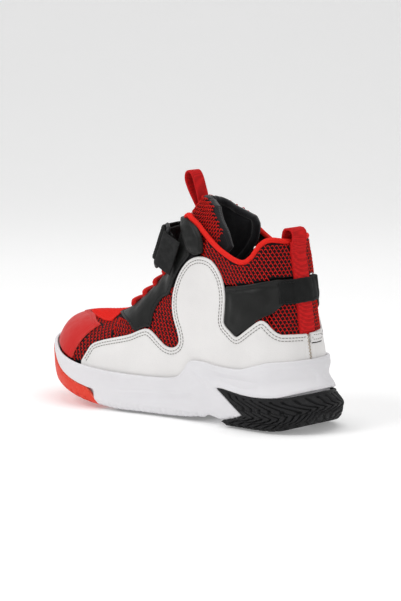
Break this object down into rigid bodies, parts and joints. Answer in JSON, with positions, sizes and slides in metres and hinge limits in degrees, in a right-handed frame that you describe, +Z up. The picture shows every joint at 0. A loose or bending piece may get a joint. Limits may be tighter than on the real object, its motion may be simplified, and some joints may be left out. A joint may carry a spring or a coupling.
{
  "type": "basketball high top",
  "caption": "High-top basketball shoe with knit and leather upper, elastic lace, ankle strap through a ring, padded tongue and wrapped rubber outsole.",
  "frame": {"origin": "middle of the shoe's box, on the ground it stands on", "axes": "+X towards the heel, -X towards the toe, -Y is the side with the strap's ring, +Z up"},
  "size_m": [0.2451, 0.092, 0.1664],
  "materials": {
    "white_foam": "moulded EVA foam, fine satin skin",
    "black_rubber": "moulded rubber with a zigzag tread",
    "red_rubber": "moulded rubber",
    "board": "stitched fibre board",
    "stiffener": "thermoplastic sheet",
    "black_lining": "brushed lining fabric",
    "pad_foam": "open-cell foam",
    "red_black_knit": "coarse red knit over black",
    "black_mesh": "padded black mesh",
    "red_binding": "knitted binding tape",
    "black_leather": "soft pebbled synthetic leather",
    "red_leather": "smooth synthetic leather",
    "white_leather": "smooth synthetic leather",
    "red_webbing": "ribbed webbing",
    "red_lace": "round elastic cord with a braided cover",
    "hook_and_loop": "hook-and-loop tape",
    "black_plastic": "moulded plastic"
  },
  "bodies": {
    "shoe": {"midsole": "white_foam", "heel_outsole": "black_rubber", "toe_outsole": "red_rubber", "forefoot_outsole": "black_rubber", "lasting_board": "board", "sockliner": "black_lining", "toe_puff": "stiffener", "heel_counter": "stiffener", "quarter_lining": "black_lining", "vamp_lining": "black_lining", "collar_foam": "pad_foam", "vamp_mesh": "red_black_knit", "quarter_mesh_near": "red_black_knit", "quarter_mesh_far": "red_black_knit", "collar_knit": "red_black_knit", "collar_binding": "red_binding", "collar_roll_near": "black_leather", "collar_roll_far": "black_leather", "toe_cap": "red_leather", "vamp_overlay": "red_leather", "eyestay_near": "black_leather", "eyestay_far": "black_leather", "side_panel_near": "white_leather", "side_panel_far": "white_leather", "heel_knit": "red_black_knit", "heel_panel": "white_leather", "ankle_panel_near": "black_leather", "ankle_panel_far": "black_leather", "heel_band": "black_leather", "heel_webbing": "red_webbing", "tongue_base": "black_mesh", "tongue_base_lining": "black_lining", "elastic_lace": "red_lace", "ankle_strap": "black_leather", "loop_patch": "hook_and_loop", "strap_ring": "black_plastic", "ring_tab": "black_leather"},
    "strap_end": {"strap_tip": "black_leather", "hook_patch": "hook_and_loop"},
    "tongue_top": {"tongue_knit": "red_black_knit", "tongue_foam": "pad_foam", "tongue_lining": "black_lining"},
    "tongue_loop": {"tongue_pull_loop": "red_webbing"},
    "heel_loop": {"heel_pull_loop": "red_webbing"}
  },
  "joints": [
    {"name": "strap_peel", "type": "hinge", "parent": "shoe", "child": "strap_end", "pos_m": [-0.01317, -0.0226, 0.11816], "axis": [0.3771, 0, 0.9262], "range_deg": [0, 150]},
    {"name": "tongue_flex", "type": "hinge", "parent": "shoe", "child": "tongue_top", "pos_m": [0.008, 0, 0.135], "axis": [0, 1, 0], "range_deg": [-25, 0], "stiffness_Nm_per_rad": 0.05},
    {"name": "tongue_loop_tilt", "type": "hinge", "parent": "tongue_top", "child": "tongue_loop", "pos_m": [0.0045, 0, 0.139], "axis": [0, 1, 0], "range_deg": [-60, 8], "stiffness_Nm_per_rad": 0.004},
    {"name": "heel_loop_tilt", "type": "hinge", "parent": "shoe", "child": "heel_loop", "pos_m": [0.09, 0, 0.125], "axis": [0, 1, 0], "range_deg": [-20, 20], "stiffness_Nm_per_rad": 0.004}
  ]
}
